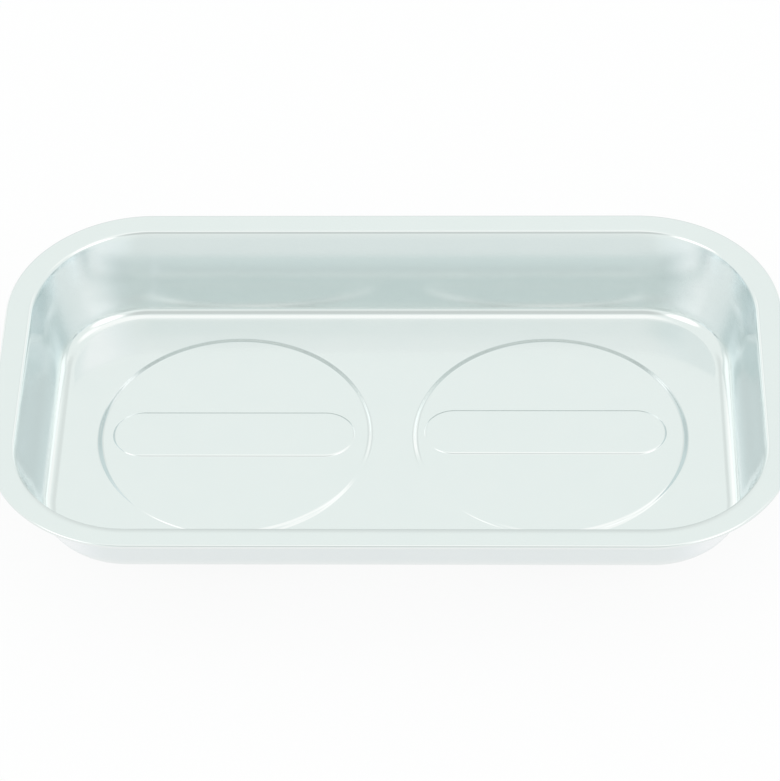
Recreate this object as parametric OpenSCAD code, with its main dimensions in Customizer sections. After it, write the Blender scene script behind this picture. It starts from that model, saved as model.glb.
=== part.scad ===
// Magnetic parts tray: a dish pressed from one sheet of stainless steel, with a hemmed rim,
// standing on two ring magnets. Each magnet sits in a rubber cover and nests under a round
// seat that is pressed up into the dish's floor.
// Millimetres. +Z is up and +X runs along the tray. The origin lies on the surface that the
// covers stand on, under the middle of the dish.

/* [Magnets] */
// Outside diameter of each ring magnet
magnet_d = 72; // [50:1:90]
// Bore through the ring magnet and its pole plate
magnet_bore_d = 32; // [24:1:38]
// Thickness of the ring magnet
magnet_t = 6; // [4:0.5:10]
// Chamfer on the edges of the ring magnet
magnet_chamfer = 0.6; // [0.2:0.1:1]
// Thickness of the steel pole plate under the magnet
plate_t = 1.5; // [1:0.1:3]
// How far the pole plate stands out past the magnet
plate_overhang = 1; // [0.6:0.1:2]
// Thickness of the bonding tape between magnet and dish
tape_t = 0.5; // [0.2:0.1:1]
// How far the bonding tape stops short of the magnet's edges
tape_inset = 2; // [1:0.5:4]

/* [Rubber covers] */
// Wall of the cover outside the pole plate
cover_wall = 2.4; // [1.6:0.1:4]
// Floor of the cover under the pole plate
cover_floor_t = 2.3; // [1.8:0.1:4]
// Radius round the bottom edge of the cover
cover_edge_r = 2; // [0.5:0.1:3]
// Running clearance between the pole plate and its groove in the cover
plate_clear = 0.1; // [0.05:0.05:0.3]
// Clearance between the magnet and the lip that holds the pole plate
lip_clear = 0.2; // [0.1:0.05:0.4]
// Clearance between the cover's spigot and the bore of the magnet
spigot_clear = 0.2; // [0.1:0.05:0.5]
// Wall of the hollow spigot that centres the magnet
spigot_wall = 2; // [1:0.1:4]
// Height of the spigot above the cover's floor
spigot_h = 5; // [2:0.5:5.5]
// Diameter of the shallow recess in the middle of the underside
centre_recess_d = 30; // [10:1:34]
// Width of the plain land round the outside of the underside
grip_land = 4.5; // [2:0.5:8]
// Distance between neighbouring grip grooves
groove_pitch = 3.4; // [2:0.1:6]
// Width of each grip groove
groove_w = 1.2; // [0.6:0.1:1.6]
// Depth of the grip grooves and of the middle recess
groove_depth = 0.6; // [0.3:0.1:1]

/* [Dish] */
// Thickness of the steel sheet
sheet_t = 0.6; // [0.4:0.05:1]
// Depth of the dish, from the top of the rim to its floor
dish_depth = 27.3; // [18:0.1:45]
// Lean of the walls away from upright, in degrees
wall_draft = 17.6; // [5:0.1:25]
// Inside radius between floor and wall
floor_fillet_r = 3.6; // [2:0.1:6]
// Corner radius of the flat floor
floor_corner_r = 24.6; // [10:0.1:40]
// Flat floor between a seat and the end wall
end_margin = 9.7; // [4:0.1:30]
// Flat floor between a seat and the long wall
side_margin = 9.7; // [4:0.1:30]
// Flat floor between the two seats
seat_gap = 12.4; // [4:0.1:40]

/* [Rim] */
// Flat width of the rim, from the bend to its outer edge
flange_w = 6.8; // [4:0.1:12]
// Outside radius of the bend from wall to rim
rim_bend_r = 1.4; // [1.2:0.1:5]
// Gap between the two layers of the hemmed edge
hem_gap = 0.2; // [0.1:0.05:0.6]
// How far the folded layer stops short of the bend
hem_clear = 0.6; // [0.2:0.1:1.5]

/* [Seats] */
// Height that each seat is pressed up above the floor
seat_h = 0.9; // [0.5:0.1:2]
// Width of the sloping step round a seat
seat_run = 2.1; // [1.5:0.1:4]
// Clearance round the cover inside its seat
seat_clear = 0.9; // [0.4:0.1:3]
// Flat seat left between its step and each end of the raised plaque
plaque_margin = 2.8; // [1:0.1:15]
// Width of the plain raised plaque on each seat
plaque_w = 19.3; // [10:0.1:30]
// Height of the plaque above the seat
plaque_h = 0.4; // [0.2:0.05:0.6]
// Width of the sloping step round the plaque
plaque_run = 1; // [0.8:0.1:2]

/* [Hidden] */
$fn = 96;
arc_steps = 8;   // straight pieces in each bend of the sheet

// Radii of the magnet base, from the magnet out to the foot of the seat
magnet_r = magnet_d / 2;
bore_r = magnet_bore_d / 2;
plate_r = magnet_r + plate_overhang;
groove_r = plate_r + plate_clear;
lip_r = magnet_r + lip_clear;
cover_r = groove_r + cover_wall;
seat_top_r = cover_r + seat_clear;
seat_foot_r = seat_top_r + seat_run;
spigot_r = bore_r - spigot_clear;

// Heights of the stack, from the surface that the covers stand on
plate_z = cover_floor_t;
magnet_z = plate_z + plate_t;
tape_z = magnet_z + magnet_t;
seat_under_z = tape_z + tape_t;
floor_under_z = seat_under_z - seat_h;
floor_z = floor_under_z + sheet_t;
rim_z = floor_z + dish_depth;

// Plan of the dish: a core rectangle, with the sheet's profile swept round it
seat_x = seat_foot_r + seat_gap / 2;
floor_l = 2 * (seat_x + seat_foot_r + end_margin);
floor_w = 2 * (seat_foot_r + side_margin);
core_l = floor_l - 2 * floor_corner_r;
core_w = floor_w - 2 * floor_corner_r;

// Centres of the three bends in the profile, measured out from the corner axis
bends_r = floor_fillet_r + rim_bend_r;
wall_len = (dish_depth - bends_r * (1 - sin(wall_draft))) / cos(wall_draft);
fillet_c = [floor_corner_r, floor_z + floor_fillet_r];
rim_c = [floor_corner_r + bends_r * cos(wall_draft) + wall_len * sin(wall_draft),
         rim_z - rim_bend_r];
hem_r = sheet_t + hem_gap / 2;
hem_c = [rim_c[0] + flange_w - hem_r, rim_z - hem_r];
hem_end_x = rim_c[0] + hem_clear;

// Points along an arc, from angle a to angle b
function arc(centre, r, a, b) =
    [for (i = [0 : arc_steps])
        let (turn = a + (b - a) * i / arc_steps) centre + r * [cos(turn), sin(turn)]];

// Section of the dish's sheet from the corner axis out over the rim and round its hem
function sheet_section() = concat(
    [[0, floor_z]],
    arc(fillet_c, floor_fillet_r, -90, -wall_draft),
    arc(rim_c, rim_bend_r, 180 - wall_draft, 90),
    arc(hem_c, hem_r, 90, -90),
    [[hem_end_x, hem_c[1] - hem_r], [hem_end_x, hem_c[1] - hem_r + sheet_t]],
    arc(hem_c, hem_r - sheet_t, -90, 90),
    arc(rim_c, rim_bend_r - sheet_t, 90, 180 - wall_draft),
    arc(fillet_c, floor_fillet_r + sheet_t, -wall_draft, -90),
    [[0, floor_under_z]]);

// Section of a pressed-up panel: flat to foot_r - run, then an S-shaped step down to foot_r
function panel_section(foot_r, run, height, under_z) =
    let (mid_r = (run * run + height * height) / (4 * height),
         sweep = 2 * atan(height / run),
         top_c = [foot_r - run, under_z + sheet_t / 2 + height - mid_r],
         foot_c = [foot_r, under_z + sheet_t / 2 + mid_r],
         outer = mid_r + sheet_t / 2,
         inner = mid_r - sheet_t / 2)
    concat([[0, under_z + sheet_t + height]],
           arc(top_c, outer, 90, 90 - sweep), arc(foot_c, inner, 270 - sweep, 270),
           arc(foot_c, outer, 270, 270 - sweep), arc(top_c, inner, 90 - sweep, 90),
           [[0, under_z + height]]);

// Sweeps a section round a rectangle: x runs outward from the rectangle and y runs up
module sweep_round(l, w) {
    for (quarter = [0 : 3])
        translate([(quarter % 3 == 0 ? 1 : -1) * l / 2, (quarter < 2 ? 1 : -1) * w / 2])
            rotate(90 * quarter) rotate_extrude(angle = 90) children();
    for (side = [0, 180]) {
        rotate(side) translate([-l / 2, w / 2]) rotate([90, 0, 90]) linear_extrude(l) children();
        if (w > 0)
            rotate(side + 90) translate([-w / 2, l / 2]) rotate([90, 0, 90]) linear_extrude(w)
                children();
    }
}

// Puts a piece under the left (-1) or right (1) seat
module at_seat(side) {
    translate([side * seat_x, 0]) children();
}

// A round panel pressed up out of the floor, with a plain plaque raised on it
module seat() {
    plaque_core = 2 * (seat_top_r - plaque_margin) - plaque_w;
    difference() {
        rotate_extrude() polygon(panel_section(seat_foot_r, seat_run, seat_h, floor_under_z));
        sweep_round(plaque_core, 0)
            translate([0, floor_under_z]) square([plaque_w / 2, seat_h + 2 * sheet_t]);
    }
    sweep_round(plaque_core, 0)
        polygon(panel_section(plaque_w / 2, plaque_run, plaque_h, seat_under_z));
}

module dish() {
    color([0.78, 0.79, 0.78]) {
        difference() {
            union() {
                sweep_round(core_l, core_w) polygon(sheet_section());
                translate([-core_l / 2, -core_w / 2, floor_under_z]) cube([core_l, core_w, sheet_t]);
            }
            for (side = [-1, 1])
                at_seat(side) cylinder(r = seat_foot_r, h = floor_z + sheet_t);
        }
        for (side = [-1, 1]) at_seat(side) seat();
    }
}

module bond_tape() {
    color([0.85, 0.83, 0.74]) translate([0, 0, tape_z]) rotate_extrude()
        translate([bore_r + tape_inset, 0]) square([magnet_r - bore_r - 2 * tape_inset, tape_t]);
}

module ring_magnet() {
    c = magnet_chamfer;
    color([0.16, 0.16, 0.17]) translate([0, 0, magnet_z]) rotate_extrude()
        polygon([[bore_r + c, 0], [magnet_r - c, 0], [magnet_r, c], [magnet_r, magnet_t - c],
                 [magnet_r - c, magnet_t], [bore_r + c, magnet_t], [bore_r, magnet_t - c], [bore_r, c]]);
}

module pole_plate() {
    color([0.62, 0.63, 0.65]) translate([0, 0, plate_z]) rotate_extrude()
        translate([bore_r, 0]) square([plate_r - bore_r, plate_t]);
}

// A cup that snaps over the pole plate, with a spigot in the magnet's bore and a grooved foot
module rubber_cover() {
    grip_r = cover_r - cover_edge_r - grip_land;
    recess_r = centre_recess_d / 2;
    groove_count = floor((grip_r - recess_r - groove_w) / groove_pitch) + 1;
    plate_room = plate_t + plate_clear;
    spigot_hole_r = spigot_r - spigot_wall;
    color([0.07, 0.07, 0.075]) difference() {
        rotate_extrude() union() {
            square([cover_r - cover_edge_r, cover_floor_t]);
            translate([cover_r - cover_edge_r, cover_edge_r]) circle(cover_edge_r);
            translate([0, cover_edge_r]) square([cover_r, seat_under_z - cover_edge_r]);
        }
        translate([0, 0, cover_floor_t]) {
            rotate_extrude() translate([spigot_r, 0]) square([groove_r - spigot_r, plate_room]);
            rotate_extrude() translate([spigot_r, 0]) square([lip_r - spigot_r, seat_under_z]);
            cylinder(r = spigot_hole_r, h = seat_under_z);
            translate([0, 0, spigot_h]) cylinder(r = spigot_r, h = seat_under_z);
        }
        translate([0, 0, -groove_depth]) {
            cylinder(r = recess_r, h = 2 * groove_depth);
            for (i = [0 : 1 : groove_count - 1])
                rotate_extrude() translate([grip_r - i * groove_pitch - groove_w, 0])
                    square([groove_w, 2 * groove_depth]);
        }
    }
}

dish();
at_seat(-1) bond_tape();  // left_bond_tape
at_seat(-1) ring_magnet();  // left_ring_magnet
at_seat(-1) pole_plate();  // left_pole_plate
at_seat(-1) rubber_cover();  // left_rubber_cover
at_seat(1) bond_tape();  // right_bond_tape
at_seat(1) ring_magnet();  // right_ring_magnet
at_seat(1) pole_plate();  // right_pole_plate
at_seat(1) rubber_cover();  // right_rubber_cover
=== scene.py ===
import math

import bmesh
import bpy
from mathutils import Matrix, Vector


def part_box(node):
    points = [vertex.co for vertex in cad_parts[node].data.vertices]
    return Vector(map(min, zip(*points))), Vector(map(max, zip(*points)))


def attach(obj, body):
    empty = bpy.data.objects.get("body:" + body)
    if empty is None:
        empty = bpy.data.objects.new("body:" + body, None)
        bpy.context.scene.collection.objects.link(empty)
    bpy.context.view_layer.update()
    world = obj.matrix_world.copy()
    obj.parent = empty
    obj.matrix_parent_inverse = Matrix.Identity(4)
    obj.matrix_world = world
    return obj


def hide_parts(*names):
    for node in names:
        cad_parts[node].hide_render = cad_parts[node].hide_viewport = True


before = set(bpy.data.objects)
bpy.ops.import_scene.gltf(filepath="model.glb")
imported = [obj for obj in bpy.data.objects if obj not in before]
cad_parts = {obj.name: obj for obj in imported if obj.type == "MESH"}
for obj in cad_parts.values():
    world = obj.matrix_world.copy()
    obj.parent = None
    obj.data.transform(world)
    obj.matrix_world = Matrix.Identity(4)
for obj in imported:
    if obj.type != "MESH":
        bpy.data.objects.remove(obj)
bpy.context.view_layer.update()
mm = 0.001
deg = math.pi / 180

dishLow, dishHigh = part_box("dish")
coverLow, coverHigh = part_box("right_rubber_cover")
plateLow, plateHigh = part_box("right_pole_plate")
magnetLow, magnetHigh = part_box("right_ring_magnet")
seatX = (coverLow.x + coverHigh.x) / 2
coverRadius = (coverHigh.x - coverLow.x) / 2

# camera, placed round a point in the plane of the rim
shot = {
    "elevation": 45.08 * deg,
    "yaw": 2.11 * deg,
    "roll": -1.47 * deg,
    "distance": 1.0724,
    "aim": (-0.2 * mm, -7.5 * mm),
    "focalPixels": 3549,   # focal length in pixels of the 780 x 781 frame
    "framePixels": 781,
    "sensor": 36.0,
}


def addCamera():
    e, yaw = shot["elevation"], shot["yaw"]
    back = Vector((math.sin(yaw) * math.cos(e), -math.cos(yaw) * math.cos(e), math.sin(e)))
    right = Vector((math.cos(yaw), math.sin(yaw), 0))
    turn = Matrix((right, back.cross(right), back)).transposed().to_4x4()
    data = bpy.data.cameras.new("camera")
    data.sensor_width = shot["sensor"]
    data.lens = shot["focalPixels"] * shot["sensor"] / shot["framePixels"]
    data.clip_end = 50
    camera = bpy.data.objects.new("camera", data)
    spot = Vector((*shot["aim"], dishHigh.z)) + back * shot["distance"]
    camera.matrix_world = Matrix.Translation(spot) @ turn @ Matrix.Rotation(shot["roll"], 4, "Z")
    bpy.context.scene.collection.objects.link(camera)
    bpy.context.scene.camera = camera


addCamera()
print("camera set")


# one socket of a node tree, so that shader maths reads as plain expressions
class Wire:
    def __init__(self, tree, socket):
        self.tree = tree
        self.socket = socket

    # adds a node: its settings first, then the value or the wire of each of its sockets
    def made(self, kind, output=0, settings=None, **inputs):
        node = self.tree.nodes.new(kind)
        for key, value in (settings or {}).items():
            setattr(node, key, value)
        for key, value in inputs.items():
            socket = node.inputs[int(key[2:]) if key.startswith("in") else key.replace("_", " ")]
            if isinstance(value, Wire):
                self.tree.links.new(value.socket, socket)
            else:
                socket.default_value = value
        return Wire(self.tree, node.outputs[output])

    def maths(self, operation, *values):
        return self.made("ShaderNodeMath", 0, {"operation": operation},
                         **{"in%d" % i: value for i, value in enumerate(values)})

    def __add__(self, other):
        return self.maths("ADD", self, other)

    def __sub__(self, other):
        return self.maths("SUBTRACT", self, other)

    def __mul__(self, other):
        return self.maths("MULTIPLY", self, other)

    def __abs__(self):
        return self.maths("ABSOLUTE", self)

    __radd__ = __add__


# 0 at the first value and 1 at the second, with a soft change between them
def fade(value, start, end):
    return value.made("ShaderNodeMapRange", 0, {"interpolation_type": "SMOOTHSTEP"},
                      Value=value, From_Min=start, From_Max=end)


def stretched(place, factors):
    return place.made("ShaderNodeVectorMath", 0, {"operation": "MULTIPLY"}, in0=place, in1=factors)


# noise about 0.5; size is roughly the width of its lumps
def noise(place, size, detail=2):
    return place.made("ShaderNodeTexNoise", 0, None, Vector=place, Scale=1 / size, Detail=detail)


def blend(factor, first, second):
    return factor.made("ShaderNodeMix", 2, {"data_type": "RGBA"}, in0=factor,
                       in6=first if isinstance(first, Wire) else (*first, 1), in7=(*second, 1))


# height is in metres
def bump(height):
    return height.made("ShaderNodeBump", 0, None, Strength=1, Distance=1, Height=height)


def newMaterial(name):
    material = bpy.data.materials.new(name)
    material.use_nodes = True
    tree = material.node_tree
    place = Wire(tree, tree.nodes.new("ShaderNodeTexCoord").outputs["Object"])
    return material, tree.nodes["Principled BSDF"].inputs, place


def feed(wire, socket):
    wire.tree.links.new(wire.socket, socket)


# stainless sheet: bright and slightly soft, rolled along X, drawn and a little wavy on the walls, with
# painted shade on the walls and a painted sheen in the corners of the ends
steelLook = {
    "colour": (0.834, 0.863, 0.853),
    # painted shade: the walls darker than the floor and the rim; the same colour also tints the faint random
    # patches
    "mottleAndShadeColour": (0.772, 0.822, 0.823),
    "endShadeColour": (0.725, 0.797, 0.815),     # painted shade, darker still on the end walls
    "cornerSheenColour": (0.885, 0.91, 0.918),   # painted sheen, lighter in the corners of the end walls
    "drawn": 0.7,               # share of the painted shade colour on the walls
    "mottle": 0.3,              # and in faint patches everywhere
    "mottleSize": 9 * mm,
    "mottleRoughness": 0.03,
    "roughness": 0.10,
    "drawnRoughness": 0.03,
    "cornerRoughness": 0.04,
    "grainRoughness": 0.05,
    "wave": 0.014 * mm,         # height of the waves in the walls
    "waveSize": 24 * mm,
    "flatWave": 0.004 * mm,     # and in the floor and the rim
    "wrinkle": 0.004 * mm,      # upright wrinkles where the corners were drawn
    "wrinkleSize": 7 * mm,
    "wallFoot": (2 * mm, 6 * mm),       # where the walls begin above the floor
    "wallTop": (0.5 * mm, 3 * mm),      # and end below the rim
    "cornerX": (72 * mm, 84 * mm),      # where the corners begin, from the middle
    "cornerY": (22 * mm, 34 * mm),
    "endX": (82 * mm, 96 * mm),         # and the end walls with their painted shade, and the corners of the ends with their painted sheen
    "sheenY": (34 * mm, 50 * mm),
    "grain": 0.00015 * mm,
    "grainSize": 0.5 * mm,
}


def steelMaterial():
    s = steelLook
    material, shader, place = newMaterial("stainlessSheet")
    x, y, z = (place.made("ShaderNodeSeparateXYZ", i, None, Vector=place) for i in range(3))
    floorLevel, rimLevel = dishLow.z, dishHigh.z
    wall = fade(z, *(floorLevel + up for up in s["wallFoot"]))
    wall = wall * fade(z, *(rimLevel - down for down in s["wallTop"]))
    corner = fade(abs(x), *s["cornerX"]) * fade(abs(y), *s["cornerY"]) * wall
    # the end walls, where the darker painted shade is laid
    ends = fade(abs(x), *s["endX"]) * wall
    # the corners of the end walls, where a painted sheen lightens the colour
    paintedSheen = ends * fade(abs(y), *s["sheenY"])
    waves = (noise(place, s["waveSize"]) - 0.5) * (wall * (s["wave"] - s["flatWave"]) + s["flatWave"])
    wrinkles = (noise(stretched(place, (1, 1, 0.15)), s["wrinkleSize"], 1) - 0.5) * corner * s["wrinkle"]
    rolled = noise(stretched(place, (0.03, 1, 1)), s["grainSize"], 3)
    drawn = noise(stretched(place, (1, 1, 0.04)), s["grainSize"], 3)
    grain = rolled + (drawn - rolled) * wall - 0.5
    mottle = noise(place, s["mottleSize"], 3)
    # faint random patches, and painted shade that darkens the walls
    sheet = blend(mottle * s["mottle"] + wall * s["drawn"], s["colour"], s["mottleAndShadeColour"])
    # painted shade darker still on the end walls, then a painted sheen lighter in their corners
    sheet = blend(paintedSheen, blend(ends, sheet, s["endShadeColour"]), s["cornerSheenColour"])
    feed(sheet, shader["Base Color"])
    rough = s["roughness"] + wall * s["drawnRoughness"] + corner * s["cornerRoughness"]
    feed(rough + grain * s["grainRoughness"] + mottle * s["mottleRoughness"], shader["Roughness"])
    feed(bump(waves + wrinkles + grain * s["grain"]), shader["Normal"])
    shader["Metallic"].default_value = 1
    return material


# moulded rubber: matt black with a fine grain from its mould and paler scuffs
def rubberMaterial():
    material, shader, place = newMaterial("blackRubber")
    mottle = noise(place, 14 * mm, 4)
    grain = noise(place, 0.35 * mm, 3)
    scuffs = fade(noise(stretched(place, (1, 0.2, 1)), 3 * mm, 5), 0.62, 0.74)
    black, scuffed = (0.016, 0.016, 0.017), (0.045, 0.044, 0.043)
    feed(blend(scuffs * 0.7 + mottle * 0.3, black, scuffed), shader["Base Color"])
    feed(0.52 + mottle * 0.16 + scuffs * 0.1 + grain * 0.08, shader["Roughness"])
    feed(bump((grain - 0.5) * (0.03 * mm) + (mottle - 0.5) * (0.05 * mm)), shader["Normal"])
    return material


# foam tape: off-white, with the small open cells of its cut edge
def tapeMaterial():
    material, shader, place = newMaterial("foamTape")
    cells = place.made("ShaderNodeTexVoronoi", 0, None, Vector=place, Scale=1 / (0.4 * mm))
    mottle = noise(place, 6 * mm)
    feed(blend(mottle * 0.5 + cells * 0.5, (0.72, 0.69, 0.58), (0.62, 0.59, 0.48)), shader["Base Color"])
    feed(0.7 + mottle * 0.2, shader["Roughness"])
    feed(bump(cells * (0.04 * mm)), shader["Normal"])
    return material


# ferrite: grey-black ceramic, ground flat in one direction, with small pits
def ferriteMaterial():
    material, shader, place = newMaterial("groundFerrite")
    ground = noise(stretched(place, (1, 0.04, 1)), 0.4 * mm, 3)
    pits = fade(noise(place, 0.9 * mm, 2), 0.36, 0.28)
    feed(blend(ground * 0.6 + pits * 0.4, (0.034, 0.034, 0.037), (0.016, 0.016, 0.018)), shader["Base Color"])
    feed(0.36 + ground * 0.2 + pits * 0.3, shader["Roughness"])
    feed(bump(ground * (0.004 * mm) - pits * (0.05 * mm)), shader["Normal"])
    return material


# zinc-plated steel: pale bluish plating with its faint spangle
def zincMaterial():
    material, shader, place = newMaterial("zincPlate")
    spangle = noise(place, 2.5 * mm, 1)
    streaks = noise(stretched(place, (0.05, 1, 1)), 0.5 * mm, 3)
    feed(blend(spangle * 0.7 + streaks * 0.3, (0.60, 0.62, 0.66), (0.50, 0.52, 0.55)), shader["Base Color"])
    feed(0.26 + spangle * 0.14 + streaks * 0.06, shader["Roughness"])
    feed(bump(streaks * (0.002 * mm)), shader["Normal"])
    shader["Metallic"].default_value = 1
    return material


def finishPiece(name, bm, material, slot, *nodes):
    mesh = bpy.data.meshes.new(name)
    bm.to_mesh(mesh)
    bm.free()
    mesh.shade_smooth()
    mesh.set_sharp_from_angle(angle=40 * deg)
    mesh.materials.append(material)
    piece = bpy.data.objects.new(name, mesh)
    bpy.context.scene.collection.objects.link(piece)
    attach(piece, "root")
    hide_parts(*nodes)
    print(name, "made with", len(mesh.polygons), "faces")
    return piece


def arc(centre, radius, start, end, steps):
    turns = [start + (end - start) * i / steps for i in range(steps + 1)]
    return [(centre[0] + radius * math.cos(t * deg), centre[1] + radius * math.sin(t * deg)) for t in turns]


def addChain(bm, centre, section):
    verts = [bm.verts.new((centre[0] + r, centre[1], z)) for r, z in section]
    edges = [bm.edges.new(pair) for pair in zip(verts, verts[1:])]
    return verts + edges


# draws a section round a rectangle with round corners: r runs outward and z up
def sweepRound(bm, middle, halfX, halfY, section, cornerSteps):
    chain = addChain(bm, (middle[0] + halfX, middle[1] + halfY), section)
    corners = ((1, 1), (-1, 1), (-1, -1), (1, -1))
    runs = ((-2 * halfX, 0, 0), (0, -2 * halfY, 0), (2 * halfX, 0, 0), (0, 2 * halfY, 0))
    for (sideX, sideY), run in zip(corners, runs):
        pivot = (middle[0] + sideX * halfX, middle[1] + sideY * halfY, 0)
        chain = bmesh.ops.spin(bm, geom=chain, cent=pivot, axis=(0, 0, 1),
                               angle=90 * deg, steps=cornerSteps)["geom_last"]
        length = Vector(run).length
        share = min(dish["keep"] / length, 0.2) if length > 0 else 0
        for part in (share, 1 - 2 * share, share) if length > 0 else ():
            edges = [g for g in chain if isinstance(g, bmesh.types.BMEdge)]
            chain = bmesh.ops.extrude_edge_only(bm, edges=edges)["geom"]
            chain = [g for g in chain if not isinstance(g, bmesh.types.BMFace)]
            bmesh.ops.translate(bm, vec=Vector(run) * part,
                                verts=[g for g in chain if isinstance(g, bmesh.types.BMVert)])


# the dish: one pressed sheet, drawn as its upper face and then given its thickness
dish = {
    "sheet": 0.6 * mm,
    "draft": 16.2,             # lean of the long walls, degrees
    # bends from the wall over the rim: the flare, the shoulder, the edge and the roll of the flange,
    # each with its radius and the lean where it ends
    "rimBends": ((80 * mm, 28), (2.2 * mm, 52), (0.7 * mm, 77), (16 * mm, 90)),
    "flareBow": 0.85 * mm,     # how far the flare bows in, which the corners and the ends don't
    "flareFade": 0.3,
    "endDraw": 1.9 * mm,       # how far the floor is drawn out at each end, so that the end walls lean less
    "endFillet": 1.3 * mm,     # and how much further the fillet reaches in there
    "filletTop": 4.0 * mm,
    "endShoulder": 0.3 * mm,   # the softer shoulder at the top of the end walls
    "shoulderAt": 0.05,
    "floorFillet": 3.6 * mm,
    "floorCorner": 23.46 * mm,
    "flange": 3.5 * mm,
    "hemGap": 0.2 * mm,
    "hemReach": 4.3 * mm,
    "seatClear": 0.9 * mm,
    "seatRun": 2.6 * mm,
    "seatRise": 0.9 * mm,
    "plaqueMargin": 2.8 * mm,
    "plaqueWidth": 19.3 * mm,
    "plaqueRun": 1.0 * mm,
    "plaqueRise": 0.4 * mm,
    "plaqueShift": {-1: (-0.3 * mm, -0.5 * mm), 1: (-1.6 * mm, 0.6 * mm)},   # stamped a little off the middle
    "keep": 0.3 * mm,          # flat strip beside each bend, which keeps the flats flat
    "bendSteps": 16,
    "stepSteps": 10,
    "cornerSteps": 48,
    "seatSteps": 160,
}
floorTop = dishLow.z + dish["sheet"]


def sheetSection():
    d = dish
    low, fillet, keep, steps = d["draft"] * deg, d["floorFillet"], d["keep"], d["bendSteps"]
    leans = [d["draft"]] + [end for radius, end in d["rimBends"]]
    rises = [radius * (math.sin(end * deg) - math.sin(start * deg))
             for (radius, end), start in zip(d["rimBends"], leans)]
    wall = (dishHigh.z - floorTop - fillet * (1 - math.sin(low)) - sum(rises)) / math.cos(low)
    along = Vector((math.sin(low), math.cos(low)))
    foot = arc((d["floorCorner"], floorTop + fillet), fillet, -90, -d["draft"], steps)
    section = [(d["floorCorner"] - keep, floorTop), *foot, Vector(foot[-1]) + along * keep]
    point = Vector(foot[-1]) + along * wall
    for (radius, end), start in zip(d["rimBends"], leans):
        centre = point + radius * Vector((math.cos(start * deg), -math.sin(start * deg)))
        section += arc(centre, radius, 180 - start, 180 - end, steps)
        point = Vector(section[-1])
    hem = d["sheet"] + d["hemGap"] / 2
    hemCentre = (point.x + d["flange"] - hem, dishHigh.z - hem)
    section += [(point.x + keep, dishHigh.z), (hemCentre[0] - keep, dishHigh.z),
                *arc(hemCentre, hem, 90, -90, steps), (hemCentre[0] - keep, dishHigh.z - 2 * hem),
                (hemCentre[0] - d["hemReach"], dishHigh.z - 2 * hem)]
    print("flange starts at", round(point.x / mm, 2), "mm")
    return section, hemCentre[0] + hem


# the S-shaped step of a pressed-up panel, from the flat round its foot in to its top
def stepSection(foot, run, rise, level):
    mid = (run * run + rise * rise) / (4 * rise)
    sweep = 2 * math.atan(rise / run) / deg
    half, keep, steps = dish["sheet"] / 2, dish["keep"], dish["stepSteps"]
    low = arc((foot, level - half + mid), mid - half, 270, 270 - sweep, steps)
    high = arc((foot - run, level - half + rise - mid), mid + half, 90 - sweep, 90, steps)
    return [(foot + keep, level), *low, *high[1:], (foot - run - keep, level + rise)]


def fillFlat(bm, level, centre=0, reach=1):
    edges = [e for e in bm.edges if e.is_boundary and all(abs(v.co.z - level) < 0.01 * mm
             and abs(v.co.x - centre) < reach for v in e.verts)]
    bmesh.ops.triangle_fill(bm, use_beauty=True, edges=edges, normal=(0, 0, 1))


# straightens the flare round the corners and draws the foot of the end walls out along the tray
def drawEnds(bm, halfX, halfY, bendRadius):
    d = dish
    for v in bm.verts:
        off = Vector((max(abs(v.co.x) - halfX, 0), max(abs(v.co.y) - halfY, 0)))
        if off.length <= bendRadius:
            facing = off.normalized()
            share = (dishHigh.z - v.co.z) / (dishHigh.z - floorTop)
            turned = min(max((1 - facing.y) / d["flareFade"], 0), 1)
            bow = 4 * d["flareBow"] * share * (1 - share) * turned * turned * (3 - 2 * turned)
            out = facing * bow
            drawn = d["endDraw"] * share
            part = share / d["shoulderAt"]
            drawn -= d["endShoulder"] * part * math.exp(1 - part) * facing.x ** 2
            low = max(1 - (v.co.z - floorTop) / d["filletTop"], 0)
            drawn -= d["endFillet"] * low * low * facing.x ** 2
            v.co.x += math.copysign(drawn + out.x, v.co.x)
            v.co.y += math.copysign(out.y, v.co.y)


def makeDish(material):
    d = dish
    section, outer = sheetSection()
    seatTop = coverRadius + d["seatClear"]
    seatFoot = seatTop + d["seatRun"]
    seatLevel = floorTop + d["seatRise"]
    plaqueHalf = seatTop - d["plaqueMargin"] - d["plaqueWidth"] / 2
    halfX, halfY = dishHigh.x - outer, dishHigh.y - outer
    bm = bmesh.new()
    sweepRound(bm, (0, 0), halfX, halfY, section, d["cornerSteps"])
    drawEnds(bm, halfX, halfY, outer - d["flange"])
    for side in (-1, 1):
        centre = side * seatX
        seat = addChain(bm, (centre, 0), stepSection(seatFoot, d["seatRun"], d["seatRise"], floorTop))
        bmesh.ops.spin(bm, geom=seat, cent=(centre, 0, 0), axis=(0, 0, 1), angle=360 * deg,
                       steps=d["seatSteps"], use_merge=True)
        plaque = stepSection(d["plaqueWidth"] / 2, d["plaqueRun"], d["plaqueRise"], seatLevel)
        shiftX, shiftY = d["plaqueShift"][side]
        sweepRound(bm, (centre + shiftX, shiftY), plaqueHalf, 0, plaque, d["cornerSteps"] // 2)
    bmesh.ops.remove_doubles(bm, verts=bm.verts, dist=0.001 * mm)
    fillFlat(bm, floorTop)
    for centre in (-seatX, seatX):
        fillFlat(bm, seatLevel, centre, seatFoot)
        fillFlat(bm, seatLevel + d["plaqueRise"], centre, seatFoot)
    bmesh.ops.recalc_face_normals(bm, faces=bm.faces)
    flat = max(bm.faces, key=lambda f: f.calc_area())
    if flat.normal.z < 0:
        bmesh.ops.reverse_faces(bm, faces=bm.faces)
    bmesh.ops.solidify(bm, geom=bm.faces[:], thickness=d["sheet"])
    return finishPiece("pressedDish", bm, material, "stainless_sheet", "dish")


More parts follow.
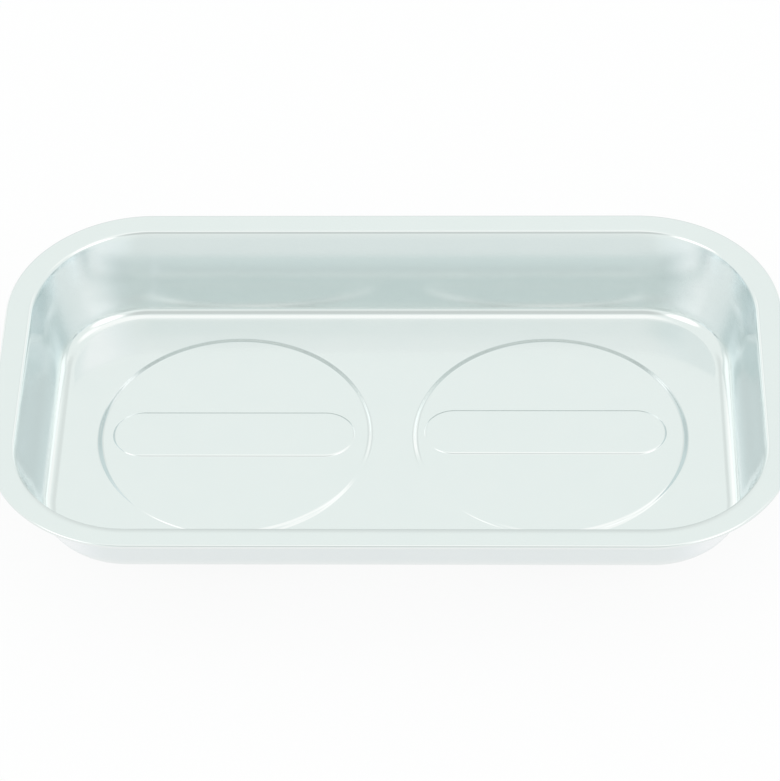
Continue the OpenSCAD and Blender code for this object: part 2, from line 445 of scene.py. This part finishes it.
# the rubber covers: a turned cup with a spigot, a lip over the pole plate and a grooved foot
cover = {
    "edge": 2.0 * mm,
    "lipClear": 0.2 * mm,
    "plateClear": 0.1 * mm,
    "spigotClear": 0.2 * mm,
    "spigotWall": 2.0 * mm,
    "spigotHeight": 5.0 * mm,
    "recess": 15.0 * mm,
    "land": 4.5 * mm,
    "groovePitch": 3.4 * mm,
    "grooveWidth": 1.2 * mm,
    "grooveDepth": 0.6 * mm,
    "grooveCount": 5,
    "soften": 0.22 * mm,
    "bore": 16.0 * mm,
    "turns": 128,
}


def makeCover(name, centre, material, node):
    c = cover
    floor = plateLow.z
    lip = (magnetHigh.x - magnetLow.x) / 2 + c["lipClear"]
    groove = (plateHigh.x - plateLow.x) / 2 + c["plateClear"]
    spigot = c["bore"] - c["spigotClear"]
    hole = spigot - c["spigotWall"]
    grip = coverRadius - c["edge"] - c["land"]
    foot = [(0, c["grooveDepth"]), (c["recess"], c["grooveDepth"]), (c["recess"], 0)]
    for i in reversed(range(c["grooveCount"])):
        outside = grip - i * c["groovePitch"]
        inside = outside - c["grooveWidth"]
        foot += [(inside, 0), (inside, c["grooveDepth"]), (outside, c["grooveDepth"]), (outside, 0)]
    side = arc((coverRadius - c["edge"], c["edge"]), c["edge"], -90, 0, 10)
    inner = [(coverRadius, coverHigh.z), (lip, coverHigh.z), (lip, plateHigh.z + c["plateClear"]),
             (groove, plateHigh.z + c["plateClear"]), (groove, floor), (spigot, floor),
             (spigot, floor + c["spigotHeight"]), (hole, floor + c["spigotHeight"]), (hole, floor),
             (0, floor)]
    bm = bmesh.new()
    chain = addChain(bm, (centre, 0), foot + side + inner)
    bmesh.ops.spin(bm, geom=chain, cent=(centre, 0, 0), axis=(0, 0, 1), angle=360 * deg,
                   steps=c["turns"], use_merge=True)
    bmesh.ops.remove_doubles(bm, verts=bm.verts, dist=0.001 * mm)
    bmesh.ops.recalc_face_normals(bm, faces=bm.faces)
    sharp = [e for e in bm.edges if e.is_manifold and e.calc_face_angle(0) > 50 * deg]
    bmesh.ops.bevel(bm, geom=sharp, offset=c["soften"], offset_type="OFFSET", affect="EDGES",
                    segments=2, profile=0.5, material=-1)
    return finishPiece(name, bm, material, "black_rubber", node)


steel = steelMaterial()
rubber = rubberMaterial()
makeDish(steel)
makeCover("leftCover", -seatX, rubber, "left_rubber_cover")
makeCover("rightCover", seatX, rubber, "right_rubber_cover")

# the magnet, its pole plate and its tape stay as the frame has them and get their finish
innerPieces = {"bond_tape": tapeMaterial(), "ring_magnet": ferriteMaterial(), "pole_plate": zincMaterial()}
for side in ("left", "right"):
    for name, material in innerPieces.items():
        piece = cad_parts["%s_%s" % (side, name)]
        piece.data.materials.clear()
        piece.data.materials.append(material)
print("materials made")

# stage: a white floor that keeps some of the tray's shadow
stage = {
    "size": 8.0,
    "colour": (0.93, 0.93, 0.93, 1),
    "white": 0.9,    # share of plain white that the camera and the metal see
}


def makeFloor():
    bm = bmesh.new()
    bmesh.ops.create_grid(bm, x_segments=2, y_segments=2, size=stage["size"] / 2)
    mesh = bpy.data.meshes.new("floor")
    bm.to_mesh(mesh)
    bm.free()
    material, shader, place = newMaterial("paleFloor")
    shader["Base Color"].default_value = stage["colour"]
    shader["Roughness"].default_value = 0.9
    shader["Specular IOR Level"].default_value = 0
    nodes = place.tree.nodes
    rays = ("Is Camera Ray", "Is Glossy Ray", "Is Transmission Ray")
    camera, glossy, through = (place.made("ShaderNodeLightPath", ray) for ray in rays)
    seen = camera.maths("MINIMUM", camera + glossy + through, 1) * stage["white"]
    white = place.made("ShaderNodeEmission", 0, None, Strength=1)
    pale = Wire(place.tree, nodes["Principled BSDF"].outputs[0])
    feed(place.made("ShaderNodeMixShader", 0, None, in0=seen, in1=pale, in2=white),
         nodes["Material Output"].inputs["Surface"])
    mesh.materials.append(material)
    floor = bpy.data.objects.new("floor", mesh)
    bpy.context.scene.collection.objects.link(floor)


# the studio: an even white surround with broad soft lamps and a few darker flags and gaps, given by their
# bearing from behind the tray towards +X, their height, the half angles where they fade, and their gain
studio = {
    "level": 1.0,
    "colour": (0.95, 1.0, 0.985),
    "lampColour": (1.0, 1.0, 0.99),
    "lampFade": (1.0, 1.15),     # levels between which the surround turns to the lamps' colour
    "lamps": {
        "overhead": {"bearing": 90, "height": 81, "full": 12, "end": 28, "gain": 0.13},
        "right": {"bearing": 126, "height": 37, "full": 7, "end": 23, "gain": 0.50},
        "highRight": {"bearing": 80, "height": 50, "full": 4, "end": 16, "gain": 0.20},
        "left": {"bearing": 234, "height": 37, "full": 7, "end": 23, "gain": 0.50},
        "backLeft": {"bearing": 320, "height": 22, "full": 6, "end": 16, "gain": 0.20},
        "backRight": {"bearing": 42, "height": 20, "full": 6, "end": 18, "gain": 0.10},
        "cameraFlag": {"bearing": 180, "height": 46, "full": 6, "end": 25, "gain": -0.28},
        "backFlag": {"bearing": 0, "height": 3, "full": 6, "end": 34, "gain": -0.25},
        "backRightGap": {"bearing": 32, "height": 33, "full": 6, "end": 15, "gain": -0.13},
        "backLeftGap": {"bearing": 328, "height": 33, "full": 6, "end": 15, "gain": -0.14},
        "lowFront": {"bearing": 180, "height": 3, "full": 8, "end": 20, "gain": -0.08},
    },
}


def setStudio():
    world = bpy.data.worlds.new("studio")
    world.use_nodes = True
    tree = world.node_tree
    way = Wire(tree, tree.nodes.new("ShaderNodeTexCoord").outputs["Generated"])
    level = studio["level"]
    for lamp in studio["lamps"].values():
        bearing, height = lamp["bearing"] * deg, lamp["height"] * deg
        spot = (math.sin(bearing) * math.cos(height), math.cos(bearing) * math.cos(height), math.sin(height))
        cosine = way.made("ShaderNodeVectorMath", 1, {"operation": "DOT_PRODUCT"}, in0=way, in1=spot)
        glow = fade(cosine, math.cos(lamp["end"] * deg), math.cos(lamp["full"] * deg))
        level = glow * lamp["gain"] + level
    background = tree.nodes["Background"].inputs
    lit = fade(level, *studio["lampFade"])
    feed(blend(lit, studio["colour"], studio["lampColour"]), background["Color"])
    feed(level, background["Strength"])
    bpy.context.scene.world = world
    bpy.context.scene.view_settings.view_transform = "Standard"


makeFloor()
setStudio()
print("studio set")
